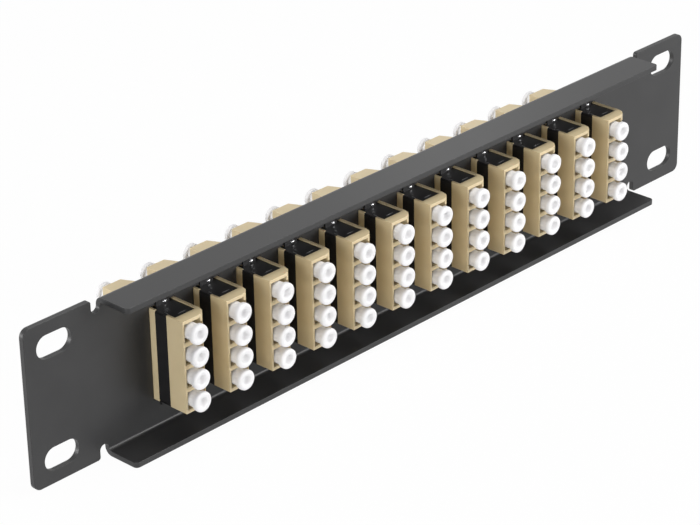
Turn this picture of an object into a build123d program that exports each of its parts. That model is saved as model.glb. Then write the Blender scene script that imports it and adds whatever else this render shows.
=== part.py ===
from build123d import *
import math
import os

# A 10 inch, one unit fibre patch panel: a folded steel sheet that carries twelve upright
# four-port adapters, each with its spring clip, alignment sleeves and dust caps.
# Units are millimetres. X runs along the panel, -Y points at the user, Z is up.
# The origin is the centre of the rack slots, on the front face of the sheet.

# Folded sheet
panel_width = 254.0
panel_height = 44.0
sheet = 1.5
flange_reach = 10.0
bend_inner = 0.8
flange_corner = 1.2
ear_width = 21.4
ear_corner = 2.2
ear_inner_corner = 0.8
notch_width = 2.8
notch_depth = 3.8

# Rack slots, set in from the ends and from the long edges
slot_inset_x = 9.3
slot_inset_z = 6.7
slot_length = 11.0
slot_height = 6.3

# Row of adapters
adapter_count = 12
adapter_pitch = 15.0
row_x = -0.25
row_z = 0.2
cutout_gap = 0.15

# Ports, four in a column on each side of the inner wall
port_count = 4
port_pitch = 6.25
port_divider = 1.25
port_wall = 0.6
port_width = 5.6
port_axis_inset = 2.3
latch_slot_depth = 1.4
latch_slot_height = 2.6
inner_wall = 7.4
sleeve_inset = 0.2
sleeve_radius = 0.9
sleeve_bore = 0.65
sleeve_play = 0.03

# Adapter housing, as high as its column of ports and an end wall beyond each
latch_wall = 0.9
housing_end = 0.925
housing_front = 11.8
housing_rear = 17.3
latch_corner = 3.1
rear_bevel_width = 2.5
rear_bevel_length = 5.0

# Seat of the spring clip in the housing
recess_rim = 0.7
recess_far_rim = 0.9
recess_floor = 0.175
recess_front = 3.3
recess_rear = 6.0
strap_front = 5.95
strap_rear = 1.85

# Spring clip
clip_sheet = 0.4
clip_play = 0.05
clip_front_play = 0.4
lug_width = 4.4
lug_rise = 2.6
tongue_width = 3.6
tongue_rise = 1.9
tongue_foot = 0.8
tongue_end_gap = 0.1
clip_bar = 0.9
strap_corner = 0.3

# Dust caps
cap_head_gap = 0.81
cap_head_thickness = 1.5
cap_stand_off = 1.8
cap_barrel_gap = 0.3
cap_barrel_depth = 6.5

# Rounds that repeat dozens of times are drawn with few sides or flats, which keeps the part light
head_sides = 10
barrel_sides = 6
sleeve_sides = 6
corner_flats = 3

# How far a cutting solid reaches past what it cuts, and how near a corner lies to where it is looked for
over = 1.0
corner_reach = 0.01

# Derived sizes
flange_length = panel_width - 2 * ear_width - 2 * notch_width
slot_pitch_x = panel_width - 2 * slot_inset_x
slot_pitch_z = panel_height - 2 * slot_inset_z
port_height = port_pitch - port_divider
port_axis_x = port_wall + port_axis_inset
housing_width = port_wall + port_width + latch_slot_depth + latch_wall
housing_height = port_count * port_pitch - port_divider + 2 * housing_end
housing_middle_y = (housing_rear - housing_front) / 2
sleeve_length = inner_wall - 2 * sleeve_inset
recess_right = housing_width - recess_far_rim
recess_depth = housing_end - recess_floor
cap_head_radius = (port_pitch - cap_head_gap) / 2
cap_barrel_radius = port_height / 2 - cap_barrel_gap


def adapter_left(k):
    """X of the left face of adapter k, counted from the left."""
    return row_x + (k - (adapter_count - 1) / 2) * adapter_pitch - housing_width / 2


def port_heights():
    return [row_z + (i - (port_count - 1) / 2) * port_pitch for i in range(port_count)]


def block(x0, x1, y0, y1, z0, z1):
    """A box given by its limits."""
    size = Box(x1 - x0, y1 - y0, z1 - z0)
    return Pos((x0 + x1) / 2, (y0 + y1) / 2, (z0 + z1) / 2) * size


def rod(radius, sides, z, y0, y1):
    """A many-sided rod on the port axis at height z, from y0 to y1."""
    start = Plane((port_axis_x, min(y0, y1), z), x_dir=(1, 0, 0), z_dir=(0, 1, 0))
    return extrude(start * RegularPolygon(radius, sides, rotation=180 / sides), amount=abs(y1 - y0))


# The folded sheet
def make_panel():
    half_height = panel_height / 2
    outer_radius = bend_inner + sheet
    depth = sheet + flange_reach

    # Cross-section of the channel: a web with a flange along each long edge
    outer = Pos((sheet - flange_reach) / 2, 0) * Rectangle(depth, panel_height)
    outer = fillet(outer.vertices().group_by(Axis.X)[-1], outer_radius)
    inner = Pos(-flange_reach / 2, 0) * Rectangle(flange_reach, panel_height - 2 * sheet)
    inner = fillet(inner.vertices().group_by(Axis.X)[-1], bend_inner)
    channel = extrude(Plane.YZ * (outer - inner), amount=flange_length / 2, both=True)

    # Rounded corners at the free ends of both flanges
    plan = Pos(0, (sheet - flange_reach) / 2) * Rectangle(flange_length, depth)
    plan = fillet(plan.vertices().group_by(Axis.Y)[0], flange_corner)
    channel &= extrude(plan, amount=half_height, both=True)

    # Flat sheet of the ears and the web, with relief notches at the ends of the bends
    flat = fillet(Rectangle(panel_width, panel_height).vertices(), ear_corner)
    bend_zone = half_height - outer_radius
    relief = Rectangle(flange_length, outer_radius)
    flat -= Pos(0, bend_zone + outer_radius / 2) * relief
    flat -= Pos(0, -bend_zone - outer_radius / 2) * relief
    notch_x = (flange_length + notch_width) / 2
    notch_r = notch_width / 2
    root = half_height - notch_depth + notch_r
    notch_sides = Rectangle(notch_width, half_height - root)
    for sx in (-1, 1):
        for sz in (-1, 1):
            flat -= Pos(sx * notch_x, sz * root) * Circle(notch_r)
            flat -= Pos(sx * notch_x, sz * (root + half_height) / 2) * notch_sides
    inner_x = panel_width / 2 - ear_width
    inner_corners = flat.vertices().filter_by(
        lambda v: abs(abs(v.X) - inner_x) < corner_reach and abs(abs(v.Y) - half_height) < corner_reach)
    flat = fillet(inner_corners, ear_inner_corner)

    # Rack slots and one cut-out for each adapter
    flat -= GridLocations(slot_pitch_x, slot_pitch_z, 2, 2) * SlotOverall(slot_length, slot_height)
    web = extrude(Plane.XZ * flat, amount=-sheet)
    panel = channel + web
    cut_width = housing_width + 2 * cutout_gap
    cut_height = housing_height + 2 * cutout_gap
    for k in range(adapter_count):
        x = adapter_left(k) + housing_width / 2
        panel -= Pos(x, sheet / 2, row_z) * Box(cut_width, 3 * sheet, cut_height)
    return panel


def latch_corner_points():
    """Ends of the flats round the front corner on a housing's latch side."""
    centre_x = housing_width - latch_corner
    centre_y = latch_corner - housing_front
    angles = [math.radians(i * 90 / corner_flats - 90) for i in range(corner_flats + 1)]
    return [(centre_x + latch_corner * math.cos(a), centre_y + latch_corner * math.sin(a)) for a in angles]


# One adapter housing, with its left face at x = 0
def make_housing():
    top = row_z + housing_height / 2
    bottom = row_z - housing_height / 2
    bevel_start = (housing_width, housing_rear - rear_bevel_length)
    bevel_end = (housing_width - rear_bevel_width, housing_rear)
    outline = [(0, -housing_front), *latch_corner_points(), bevel_start, bevel_end, (0, housing_rear)]
    plan = make_face(Polyline(*outline, close=True))
    body = extrude(Plane.XY.offset(bottom) * plan, amount=housing_height)

    # Each end has a shallow recess for the clip, open to the strap groove on the left face
    recess_plan = block(recess_rim, recess_right, recess_front - housing_front, recess_rear, -over, over)
    strap_way = block(-over, recess_rim + over, -strap_front, -strap_rear, -over, over)
    seat = recess_plan + strap_way
    body -= Pos(0, 0, top - recess_depth + over) * seat
    body -= Pos(0, 0, bottom + recess_depth - over) * seat
    body -= block(-over, clip_sheet + clip_play, -strap_front, -strap_rear, bottom - over, top + over)

    # Ports: an opening with a latch slot on each side, and a bore for the sleeve in the wall between
    wall_front = housing_middle_y - inner_wall / 2
    wall_rear = housing_middle_y + inner_wall / 2
    slot_left = port_wall + port_width
    for z in port_heights():
        for y0, y1 in ((-housing_front, wall_front), (wall_rear, housing_rear)):
            body -= block(port_wall, slot_left, y0, y1, z - port_height / 2, z + port_height / 2)
            half = latch_slot_height / 2
            body -= block(slot_left, slot_left + latch_slot_depth, y0, y1, z - half, z + half)
        body -= rod(sleeve_radius + sleeve_play, sleeve_sides, z, wall_front, wall_rear)
    return body


# The alignment sleeves of one adapter, with its left face at x = 0
def make_sleeves():
    front = housing_middle_y - sleeve_length / 2
    rear = housing_middle_y + sleeve_length / 2
    sleeves = []
    for z in port_heights():
        bore = rod(sleeve_bore, sleeve_sides, z, front, rear)
        sleeves.append(rod(sleeve_radius, sleeve_sides, z, front, rear) - bore)
    return sleeves


# One spring clip, folded from sheet, for a housing with its left face at x = 0
def make_clip():
    top = row_z + housing_height / 2
    plate_top = top - recess_depth + clip_sheet + clip_play
    plate_bottom = plate_top - clip_sheet
    plate_front = recess_front - housing_front + clip_front_play
    plate_rear = recess_rear - clip_play
    plate_left = recess_rim + clip_play
    plate_right = recess_right - clip_play
    middle_x = (plate_left + plate_right) / 2
    strap_y0 = -strap_front + clip_play
    strap_y1 = -strap_rear - clip_play

    # Flat end plate with a window, which the lug and the tongue were cut from
    plate = block(plate_left, plate_right, plate_front, plate_rear, plate_bottom, plate_top)
    plate += block(0, plate_left, strap_y0, strap_y1, plate_bottom, plate_top)
    window_half = lug_width / 2 + clip_play
    window_rear = plate_rear - clip_bar
    plate -= block(middle_x - window_half, middle_x + window_half, -clip_sheet, window_rear,
                   plate_bottom - over, plate_top + over)

    # Lug that stands in front of the sheet, and tongue that springs against its back
    lug = block(middle_x - lug_width / 2, middle_x + lug_width / 2, -clip_sheet, 0,
                plate_bottom, plate_top + lug_rise)
    bend_y = window_rear - tongue_foot
    tip_y = sheet + tongue_end_gap
    lean = clip_sheet * (bend_y - tip_y) / tongue_rise / 2
    with BuildLine() as side_view:
        Polyline(
            (window_rear, plate_bottom),
            (window_rear, plate_top),
            (bend_y + lean, plate_top),
            (tip_y + clip_sheet, plate_top + tongue_rise),
            (tip_y, plate_top + tongue_rise),
            (bend_y - lean, plate_bottom),
            close=True,
        )
    tongue = Pos(middle_x, 0, 0) * extrude(Plane.YZ * make_face(side_view.line), tongue_width / 2, both=True)
    end = plate + lug + tongue

    # The strap joins both ends round the left face of the housing
    strap = block(0, clip_sheet, strap_y0, strap_y1, 2 * row_z - plate_top, plate_top)
    clip = strap + end + mirror(end, about=Plane.XY.offset(row_z))
    corners = clip.edges().filter_by(Axis.Y).filter_by(lambda e: e.center().X < clip_sheet / 10)
    return chamfer(corners, strap_corner)


def make_caps(face_y, outward):
    """The four caps of one side of an adapter, with its left face at x = 0."""
    head_back = face_y + outward * cap_stand_off
    head_front = head_back + outward * cap_head_thickness
    barrel_end = face_y - outward * cap_barrel_depth
    caps = []
    for z in port_heights():
        head = rod(cap_head_radius, head_sides, z, head_back, head_front)
        caps.append(head + rod(cap_barrel_radius, barrel_sides, z, barrel_end, head_back))
    return caps


def write(node, shape):
    export_step(shape, f"parts/{node}.step")


def main():
    os.makedirs("parts", exist_ok=True)
    write("panel", make_panel())
    housing = make_housing()
    clip = make_clip()
    front_caps = make_caps(-housing_front, -1)
    rear_caps = make_caps(housing_rear, 1)
    sleeves = []
    for k in range(adapter_count):
        place = Pos(adapter_left(k), 0, 0)
        name = f"{k + 1:02d}"
        write(f"adapter_housing_{name}", place * housing)
        write(f"spring_clip_{name}", place * clip)
        write(f"front_dust_caps_{name}", Compound(children=[place * c for c in front_caps]))
        write(f"rear_dust_caps_{name}", Compound(children=[place * c for c in rear_caps]))
        sleeves += [place * s for s in make_sleeves()]
    write("alignment_sleeves", Compound(children=sleeves))


main()
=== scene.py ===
import math

import bmesh
import bpy
from mathutils import Matrix, Vector


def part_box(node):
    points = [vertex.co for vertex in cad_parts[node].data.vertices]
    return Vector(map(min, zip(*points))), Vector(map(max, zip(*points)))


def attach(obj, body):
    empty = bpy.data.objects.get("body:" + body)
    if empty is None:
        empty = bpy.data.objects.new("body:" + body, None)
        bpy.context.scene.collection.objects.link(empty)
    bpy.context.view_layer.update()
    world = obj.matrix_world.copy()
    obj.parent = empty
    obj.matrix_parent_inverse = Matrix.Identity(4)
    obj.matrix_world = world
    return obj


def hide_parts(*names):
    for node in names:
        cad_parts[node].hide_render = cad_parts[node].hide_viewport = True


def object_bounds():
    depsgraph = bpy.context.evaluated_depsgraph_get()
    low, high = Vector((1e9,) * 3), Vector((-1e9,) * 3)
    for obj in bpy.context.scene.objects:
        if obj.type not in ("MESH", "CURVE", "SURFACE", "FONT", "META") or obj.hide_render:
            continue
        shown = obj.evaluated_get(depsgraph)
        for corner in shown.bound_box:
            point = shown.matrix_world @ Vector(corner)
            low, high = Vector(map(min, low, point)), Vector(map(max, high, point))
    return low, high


# Fibre patch panel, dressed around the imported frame. Metres, on the frame's own axes: -Y is out of the front.
mm = 0.001
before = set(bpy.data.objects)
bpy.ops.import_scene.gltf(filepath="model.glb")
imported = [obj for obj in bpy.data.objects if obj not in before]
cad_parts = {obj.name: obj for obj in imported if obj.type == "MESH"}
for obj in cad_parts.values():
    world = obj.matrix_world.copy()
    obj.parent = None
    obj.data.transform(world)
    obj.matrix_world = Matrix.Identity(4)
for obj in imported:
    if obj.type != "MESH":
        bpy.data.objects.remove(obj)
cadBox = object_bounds()
print("frame loaded:", len(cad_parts), "nodes")

# The adapters' numbers, "01" to "12", which end the names of all their nodes
adapters = sorted(n[-2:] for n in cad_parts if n.startswith("adapter_housing_"))
carrier = "panel_assembly"  # the body of everything but the dust caps


# Helpers for the finishes
patchDetail = 3  # octaves of noise in the broad patches, against 2 elsewhere


def emptyTree(owner):
    owner.use_nodes = True
    nodes, links = owner.node_tree.nodes, owner.node_tree.links
    nodes.clear()
    return nodes, links


def newMaterial(name):
    mat = bpy.data.materials.new(name)
    nodes, links = emptyTree(mat)
    out = nodes.new("ShaderNodeOutputMaterial")
    shader = nodes.new("ShaderNodeBsdfPrincipled")
    links.new(shader.outputs["BSDF"], out.inputs["Surface"])
    return mat, nodes, links, shader


def noiseOver(nodes, links, scale, detail=2):
    coords = nodes.new("ShaderNodeTexCoord")
    noise = nodes.new("ShaderNodeTexNoise")
    noise.inputs["Scale"].default_value = scale
    noise.inputs["Detail"].default_value = detail
    links.new(coords.outputs["Object"], noise.inputs["Vector"])
    return noise.outputs["Fac"]


def rampBetween(nodes, links, noise, low, high, start=0.3, end=0.7):
    ramp = nodes.new("ShaderNodeValToRGB")
    ramp.color_ramp.elements[0].position = start
    ramp.color_ramp.elements[0].color = (*low, 1)
    ramp.color_ramp.elements[1].position = end
    ramp.color_ramp.elements[1].color = (*high, 1)
    links.new(noise, ramp.inputs["Fac"])
    return ramp.outputs["Color"]


def rangeBetween(nodes, links, share, low, high):
    remap = nodes.new("ShaderNodeMapRange")
    remap.inputs["To Min"].default_value = low
    remap.inputs["To Max"].default_value = high
    links.new(share, remap.inputs["Value"])
    return remap.outputs["Result"]


# Colour and gloss drift together between the two ends that the finish names
def driftingTone(nodes, links, noise, shader, spec):
    links.new(rampBetween(nodes, links, noise, spec["dark"], spec["light"]), shader.inputs["Base Color"])
    links.new(rangeBetween(nodes, links, noise, *spec["rough"]), shader.inputs["Roughness"])


def fineGrain(nodes, links, shader, spec):
    bump = nodes.new("ShaderNodeBump")
    bump.inputs["Strength"].default_value = spec["grainStrength"]
    bump.inputs["Distance"].default_value = spec["grainHeight"]
    links.new(noiseOver(nodes, links, spec["grain"]), bump.inputs["Height"])
    links.new(bump.outputs["Normal"], shader.inputs["Normal"])


# The reach of light under the surface is given in metres, so its scale is 1
def letLightThrough(shader, spec):
    shader.inputs["Subsurface Weight"].default_value = spec["glow"]
    shader.inputs["Subsurface Radius"].default_value = spec["glowReach"]
    shader.inputs["Subsurface Scale"].default_value = 1.0


# Finishes
powderCoat = {"dark": (0.020, 0.020, 0.0207), "light": (0.026, 0.026, 0.0267), "patch": 90,
              "grain": 2600, "grainHeight": 0.012 * mm, "grainStrength": 0.6,
              "rough": (0.40, 0.48), "shine": 0.42}


def powderCoatFinish(spec):
    mat, nodes, links, shader = newMaterial("powderCoat")
    driftingTone(nodes, links, noiseOver(nodes, links, spec["patch"], patchDetail), shader, spec)
    fineGrain(nodes, links, shader, spec)
    shader.inputs["Specular IOR Level"].default_value = spec["shine"]
    return mat


housingPlastic = {"dark": (0.655, 0.535, 0.325), "light": (0.705, 0.580, 0.360), "flow": 130,
                  "grain": 5200, "grainHeight": 0.004 * mm, "grainStrength": 0.4,
                  "rough": (0.36, 0.46), "glow": 0.06, "glowReach": (0.8 * mm, 0.5 * mm, 0.3 * mm)}


def housingPlasticFinish(spec):
    mat, nodes, links, shader = newMaterial("housingPlastic")
    driftingTone(nodes, links, noiseOver(nodes, links, spec["flow"], patchDetail), shader, spec)
    fineGrain(nodes, links, shader, spec)
    letLightThrough(shader, spec)
    return mat


# The bright metal tone and its roughness, mixed onto the pressed forms, are a painted highlight
clipSteel = {"dark": (0.011, 0.0105, 0.0115), "light": (0.015, 0.0145, 0.0155), "patch": 400,
             "rough": (0.34, 0.42), "shine": 0.35, "coat": 0.25, "coatRough": 0.07, "coatIndex": 1.7,
             "glintColour": (0.80, 0.80, 0.82), "glintRough": 0.26}


# The attribute read here is 0 on the paint and up to 1 on the pressed forms, where it mixes in bright metal as
# a painted highlight
def clipSteelFinish(spec):
    mat, nodes, links, shader = newMaterial("clipSteel")
    patch = noiseOver(nodes, links, spec["patch"], patchDetail)
    paintedGlint = nodes.new("ShaderNodeAttribute")
    paintedGlint.attribute_name = "paintedGlint"
    tone = nodes.new("ShaderNodeMix")
    tone.data_type = "RGBA"
    links.new(paintedGlint.outputs["Fac"], tone.inputs["Factor"])
    links.new(rampBetween(nodes, links, patch, spec["dark"], spec["light"]), tone.inputs["A"])
    tone.inputs["B"].default_value = (*spec["glintColour"], 1)
    links.new(tone.outputs["Result"], shader.inputs["Base Color"])
    rough = nodes.new("ShaderNodeMix")
    links.new(paintedGlint.outputs["Fac"], rough.inputs["Factor"])
    links.new(rangeBetween(nodes, links, patch, *spec["rough"]), rough.inputs["A"])
    rough.inputs["B"].default_value = spec["glintRough"]
    links.new(rough.outputs["Result"], shader.inputs["Roughness"])
    links.new(paintedGlint.outputs["Fac"], shader.inputs["Metallic"])
    shader.inputs["Specular IOR Level"].default_value = spec["shine"]
    shader.inputs["Coat Weight"].default_value = spec["coat"]
    shader.inputs["Coat Roughness"].default_value = spec["coatRough"]
    shader.inputs["Coat IOR"].default_value = spec["coatIndex"]
    return mat


capPlastic = {"dark": (0.785, 0.78, 0.79), "light": (0.825, 0.82, 0.825), "flow": 260,
              "rough": (0.42, 0.52), "shine": 0.25, "glow": 0.4, "glowReach": (1.5 * mm,) * 3}


def capPlasticFinish(spec):
    mat, nodes, links, shader = newMaterial("capPlastic")
    driftingTone(nodes, links, noiseOver(nodes, links, spec["flow"]), shader, spec)
    shader.inputs["Specular IOR Level"].default_value = spec["shine"]
    letLightThrough(shader, spec)
    return mat


ceramic = {"dark": (0.82, 0.81, 0.77), "light": (0.86, 0.85, 0.82), "patch": 700, "polish": 0.12}


def ceramicFinish(spec):
    mat, nodes, links, shader = newMaterial("ceramic")
    patch = noiseOver(nodes, links, spec["patch"])
    links.new(rampBetween(nodes, links, patch, spec["dark"], spec["light"]), shader.inputs["Base Color"])
    shader.inputs["Roughness"].default_value = spec["polish"]
    return mat


finish = {"coated_steel": powderCoatFinish(powderCoat),
          "housing_plastic": housingPlasticFinish(housingPlastic),
          "clip_steel": clipSteelFinish(clipSteel),
          "cap_plastic": capPlasticFinish(capPlastic),
          "ceramic": ceramicFinish(ceramic)}
print("finishes made:", len(finish))


# Helpers for the pieces
def addPiece(name, mesh, slot, body, node):
    piece = bpy.data.objects.new(name, mesh)
    bpy.context.scene.collection.objects.link(piece)
    mesh.materials.append(finish[slot])
    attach(piece, body)
    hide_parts(node)
    evenShading = piece.modifiers.new("evenShading", "WEIGHTED_NORMAL")
    evenShading.keep_sharp = True


# A solid's mesh with its doubled points merged and the triangles of each flat face joined
def copyOfNode(node, weldGap=0.002 * mm, flatAngle=1):
    bm = bmesh.new()
    bm.from_mesh(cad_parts[node].data)
    bmesh.ops.remove_doubles(bm, verts=bm.verts, dist=weldGap)
    bmesh.ops.dissolve_limit(bm, angle_limit=math.radians(flatAngle), verts=bm.verts, edges=bm.edges)
    return bm


# Sharp edges get the small round that paint or the mould gives them
def roundEdges(bm, width, segments, sharpAngle=32):
    limit = math.radians(sharpAngle)
    sharp = [e for e in bm.edges if len(e.link_faces) == 2 and e.calc_face_angle(0) > limit]
    bmesh.ops.bevel(bm, geom=sharp, offset=width, offset_type="OFFSET", segments=segments, profile=0.5,
                    affect="EDGES", clamp_overlap=True)


def meshFrom(bm, name, smoothAngle=40):
    mesh = bpy.data.meshes.new(name)
    bm.to_mesh(mesh)
    bm.free()
    mesh.shade_smooth()
    mesh.set_sharp_from_angle(angle=math.radians(smoothAngle))
    return mesh


# Folded sheet
sheet = {"edge": 0.26 * mm, "edgeSegments": 3}


def dressPanel(spec):
    bm = copyOfNode("panel")
    roundEdges(bm, spec["edge"], spec["edgeSegments"])
    addPiece("panel_sheet", meshFrom(bm, "panelSheet"), "coated_steel", carrier, "panel")


dressPanel(sheet)
print("panel dressed")


# Moulded housings
housing = {"edge": 0.10 * mm, "edgeSegments": 2}


def dressHousing(name, spec):
    node = f"adapter_housing_{name}"
    bm = copyOfNode(node)
    roundEdges(bm, spec["edge"], spec["edgeSegments"])
    addPiece(f"housing_{name}", meshFrom(bm, f"housing_{name}"), "housing_plastic", carrier, node)


for name in adapters:
    dressHousing(name, housing)
print("housings dressed")


# Spring clips: the folded sheet, with a shoulder on each end plate and small pressed forms that catch light.
# Places and half sizes are in millimetres: across from the clip's left face, back from the panel's front face
# and outwards from the outer face of an end plate.
# The last number of each pressed form is its share of the painted highlight: bright metal mixed into the clip's
# paint
clip = {"edge": 0.07 * mm, "edgeSegments": 2, "lugRise": 2.6 * mm, "formTurns": 16, "formRings": 10,
        "shoulder": ((0.02, -5.85, -0.02), (0.80, -1.95, 0.2)),
        "forms": [{"centre": (4.3, -7.0, 0.0), "half": (1.4, 0.10, 0.06), "paintedGlint": 0.35},  # rib on the plate
                  {"centre": (1.1, -4.9, 0.12), "half": (0.12, 0.75, 0.10), "paintedGlint": 0.35},  # by the shoulder
                  {"centre": (4.75, -0.42, 0.62), "half": (0.62, 0.36, 0.42), "paintedGlint": 0.95},  # lug's foot
                  {"centre": (5.3, -0.46, 1.75), "half": (0.5, 0.34, 0.34), "paintedGlint": 1.0}]}  # lug's upper end


def placeOnPlate(left, plate, way, place):
    return (left + place[0] * mm, place[1] * mm, plate + way * place[2] * mm)


def addShoulder(bm, corner, opposite, spec):
    made = bmesh.ops.create_cube(bm, size=1)["verts"]
    bmesh.ops.scale(bm, vec=[abs(b - a) for a, b in zip(corner, opposite)], verts=made)
    bmesh.ops.translate(bm, vec=[(a + b) / 2 for a, b in zip(corner, opposite)], verts=made)
    edges = list({e for v in made for e in v.link_edges})
    bmesh.ops.bevel(bm, geom=edges, offset=spec["edge"], segments=spec["edgeSegments"], profile=0.5,
                    affect="EDGES", clamp_overlap=True)


def addForm(bm, centre, form, spec):
    turns, rings = spec["formTurns"], spec["formRings"]
    made = bmesh.ops.create_uvsphere(bm, u_segments=turns, v_segments=rings, radius=1)["verts"]
    bmesh.ops.scale(bm, vec=[h * mm for h in form["half"]], verts=made)
    bmesh.ops.translate(bm, vec=centre, verts=made)
    # Each pressed form carries its share of the painted highlight
    layer = bm.verts.layers.float["paintedGlint"]
    for v in made:
        v[layer] = form["paintedGlint"]


def dressClip(name, spec):
    node = f"spring_clip_{name}"
    low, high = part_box(node)
    bm = copyOfNode(node)
    roundEdges(bm, spec["edge"], spec["edgeSegments"])
    bm.verts.layers.float.new("paintedGlint")
    # The outer faces of the upper and the lower end plate, and which way is out
    for plate, way in ((high[2] - spec["lugRise"], 1), (low[2] + spec["lugRise"], -1)):
        corner, opposite = (placeOnPlate(low[0], plate, way, place) for place in spec["shoulder"])
        addShoulder(bm, corner, opposite, spec)
        for form in spec["forms"]:
            addForm(bm, placeOnPlate(low[0], plate, way, form["centre"]), form, spec)
    addPiece(f"clip_{name}", meshFrom(bm, f"clip_{name}"), "clip_steel", carrier, node)


for name in adapters:
    dressClip(name, clip)
print("clips dressed")


# Dust caps, turned on a lathe. Sizes are in millimetres, and places along the axis are measured outwards
# from the face of the housing. The dish's slope is a list of radius and depth, and dishFloor is a share of
# the last radius on it.
cap = {"headRadius": 2.72, "headBack": 1.8, "headFront": 3.3, "headRound": 0.55, "backRound": 0.25,
       "barrelRadius": 2.2, "barrelDepth": 6.5, "barrelFlare": 0.15, "tipRound": 0.3,
       "dishRim": 1.5, "dishSlope": [(1.25, 0.22), (0.95, 0.85)], "dishDepth": 1.2, "dishFloor": 0.55,
       "turns": 40, "smoothAngle": 50, "inRow": 4}


def quarter(centreRadius, centrePlace, radius, start, steps=4):
    points = []
    for i in range(steps + 1):
        a = math.radians(start + 90 * i / steps)
        points.append((centreRadius + radius * math.cos(a), centrePlace + radius * math.sin(a)))
    return points


# The cap's half section as points of radius and place, from the tip in the port round to the dish
def capOutline(spec):
    barrel, flare, tip = spec["barrelRadius"], spec["barrelFlare"], spec["tipRound"]
    back, front = spec["headBack"], spec["headFront"]
    backRound, frontRound = spec["backRound"], spec["headRound"]
    floor = front - spec["dishDepth"]
    outline = [(0, -spec["barrelDepth"])]
    outline += quarter(barrel - tip, tip - spec["barrelDepth"], tip, -90)
    outline += [(barrel, back - flare), (barrel + flare, back)]
    outline += quarter(spec["headRadius"] - backRound, back + backRound, backRound, -90)
    outline += quarter(spec["headRadius"] - frontRound, front - frontRound, frontRound, 0)
    outline += [(spec["dishRim"], front)]
    outline += [(radius, front - deep) for radius, deep in spec["dishSlope"]]
    outline += [(spec["dishFloor"] * spec["dishSlope"][-1][0], floor), (0, floor)]
    return outline


def addRing(bm, radius, turns, x, y, z):
    if radius == 0:
        return [bm.verts.new((x, y, z))]
    ring = []
    for i in range(turns):
        a = 2 * math.pi * i / turns
        ring.append(bm.verts.new((x + radius * mm * math.cos(a), y, z + radius * mm * math.sin(a))))
    return ring


def latheMesh(spec, axes, outward, name):
    turns = spec["turns"]
    bm = bmesh.new()
    for x, faceY, z in axes:
        rings = [addRing(bm, radius, turns, x, faceY + outward * place * mm, z)
                 for radius, place in capOutline(spec)]
        for low, high in zip(rings, rings[1:]):
            for i in range(turns):
                j = (i + 1) % turns
                corners = [low[i % len(low)], low[j % len(low)], high[j % len(high)], high[i % len(high)]]
                bm.faces.new(list(dict.fromkeys(corners)))  # three corners where a ring is a point
    bmesh.ops.recalc_face_normals(bm, faces=bm.faces)
    return meshFrom(bm, name, spec["smoothAngle"])


# The heads of the four caps fill the box of their solids from end to end, so it says where they stand
def dressCaps(side, name, spec):
    node = f"{side}_dust_caps_{name}"
    low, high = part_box(node)
    outward = -1 if side == "front" else 1
    outerEnd = low[1] if side == "front" else high[1]
    faceY = outerEnd - outward * spec["headFront"] * mm
    x = (low[0] + high[0]) / 2
    lowest = low[2] + spec["headRadius"] * mm
    pitch = (high[2] - low[2] - 2 * spec["headRadius"] * mm) / (spec["inRow"] - 1)
    axes = [(x, faceY, lowest + i * pitch) for i in range(spec["inRow"])]
    mesh = latheMesh(spec, axes, outward, f"{side}Caps_{name}")
    addPiece(f"{side}_caps_{name}", mesh, "cap_plastic", f"{side}_caps_{name}", node)


for side in ("front", "rear"):
    for name in adapters:
        dressCaps(side, name, cap)
print("caps dressed")


# Alignment sleeves keep the shape of their solids
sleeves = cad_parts["alignment_sleeves"].data
sleeves.materials.clear()
sleeves.materials.append(finish["ceramic"])
print("sleeves given their finish")


# Camera, fitted to the photograph
viewpoint = {"azimuth": -45.94, "elevation": 26.156, "roll": -1.166, "distance": 724.727 * mm,
             "target": (-15.985 * mm, -0.231 * mm, -0.632 * mm), "lens": 140.768, "sensor": 36.0,
             "near": 0.01, "far": 20}


def placeCamera(spec):
    az, el, roll = (math.radians(spec[k]) for k in ("azimuth", "elevation", "roll"))
    back = Vector((math.sin(az) * math.cos(el), -math.cos(az) * math.cos(el), math.sin(el)))
    level = (-back).cross(Vector((0, 0, 1))).normalized()
    upright = level.cross(-back)
    right = level * math.cos(roll) + upright * math.sin(roll)
    up = upright * math.cos(roll) - level * math.sin(roll)
    data = bpy.data.cameras.new("camera")
    data.lens = spec["lens"]
    data.sensor_width = spec["sensor"]
    data.sensor_fit = "HORIZONTAL"
    data.clip_start = spec["near"]
    data.clip_end = spec["far"]
    camera = bpy.data.objects.new("camera", data)
    bpy.context.scene.collection.objects.link(camera)
    turn = Matrix((right, up, back)).transposed().to_4x4()
    camera.matrix_world = Matrix.Translation(Vector(spec["target"]) + back * spec["distance"]) @ turn
    bpy.context.scene.camera = camera


placeCamera(viewpoint)
print("camera placed")


# Floor, world and lamps
floorLook = {"size": 6.0, "drop": 0.05 * mm, "grey": 0.8, "glow": 0.975}
worldLook = {"fill": 0.22, "seen": 1.0}
lamps = {"front": {"at": (0.82, -1.30, 0.25), "size": 1.0, "power": 20.5},
         "top": {"at": (0.06, -0.08, 0.55), "size": 0.25, "power": 1.7},
         "back": {"at": (-0.95, 0.85, 0.06), "size": 0.6, "power": 12.0},
         "left": {"at": (-1.30, -0.40, 0.12), "size": 0.8, "power": 10.0},
         "sheen": {"at": (0.175, 0.135, 0.120), "size": 0.06, "power": 0.012}}  # close, for the top flange


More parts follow.
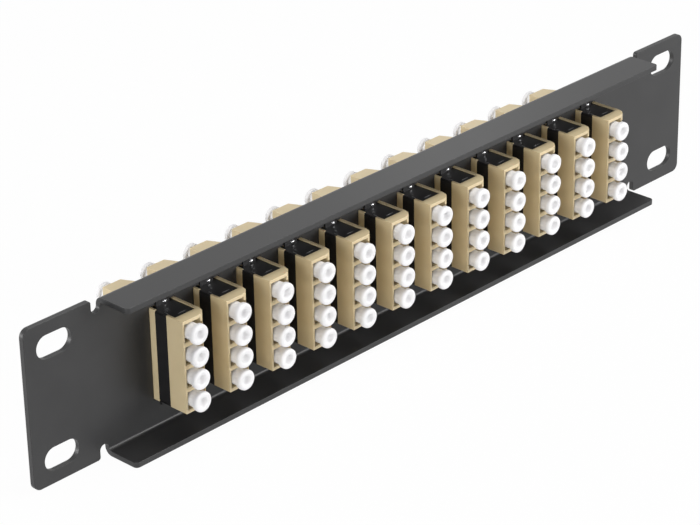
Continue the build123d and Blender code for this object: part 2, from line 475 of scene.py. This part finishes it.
# 1 for rays that show the background, straight or in gloss or glass, and 0 for those that light the object
def backgroundRays(nodes, links):
    path = nodes.new("ShaderNodeLightPath")
    seen = path.outputs["Is Camera Ray"]
    for kind in ("Is Glossy Ray", "Is Transmission Ray"):
        either = nodes.new("ShaderNodeMath")
        either.operation = "MAXIMUM"
        links.new(seen, either.inputs[0])
        links.new(path.outputs[kind], either.inputs[1])
        seen = either.outputs[0]
    return seen


def paleFloorFinish(spec):
    mat = bpy.data.materials.new("paleFloor")
    nodes, links = emptyTree(mat)
    out = nodes.new("ShaderNodeOutputMaterial")
    mix = nodes.new("ShaderNodeMixShader")
    diffuse = nodes.new("ShaderNodeBsdfDiffuse")
    diffuse.inputs["Color"].default_value = (spec["grey"],) * 3 + (1,)
    glow = nodes.new("ShaderNodeEmission")
    glow.inputs["Strength"].default_value = 1.0
    links.new(rangeBetween(nodes, links, backgroundRays(nodes, links), 0, spec["glow"]), mix.inputs["Fac"])
    links.new(diffuse.outputs[0], mix.inputs[1])
    links.new(glow.outputs[0], mix.inputs[2])
    links.new(mix.outputs[0], out.inputs["Surface"])
    return mat


def makeFloor(spec):
    bpy.ops.mesh.primitive_plane_add(size=spec["size"], location=(0, 0, cadBox[0][2] - spec["drop"]))
    floor = bpy.context.object
    floor.name = "floor"
    floor.data.materials.append(paleFloorFinish(spec))


def makeWorld(spec):
    world = bpy.data.worlds.new("studio")
    bpy.context.scene.world = world
    nodes, links = emptyTree(world)
    out = nodes.new("ShaderNodeOutputWorld")
    light = nodes.new("ShaderNodeBackground")
    light.inputs["Color"].default_value = (1, 1, 1, 1)
    strength = rangeBetween(nodes, links, backgroundRays(nodes, links), spec["fill"], spec["seen"])
    links.new(strength, light.inputs["Strength"])
    links.new(light.outputs[0], out.inputs["Surface"])


# A round lamp that points at the panel's middle
def makeLamp(name, spec):
    data = bpy.data.lights.new(name, "AREA")
    data.shape = "DISK"
    data.size = spec["size"]
    data.energy = spec["power"]
    lamp = bpy.data.objects.new(name, data)
    bpy.context.scene.collection.objects.link(lamp)
    lamp.location = spec["at"]
    lamp.rotation_euler = (-Vector(spec["at"])).to_track_quat("-Z", "Y").to_euler()


makeFloor(floorLook)
makeWorld(worldLook)
for lampName, lampSpec in lamps.items():
    makeLamp(lampName, lampSpec)
bpy.context.scene.view_settings.view_transform = "Standard"
print("floor, world and lamps placed")
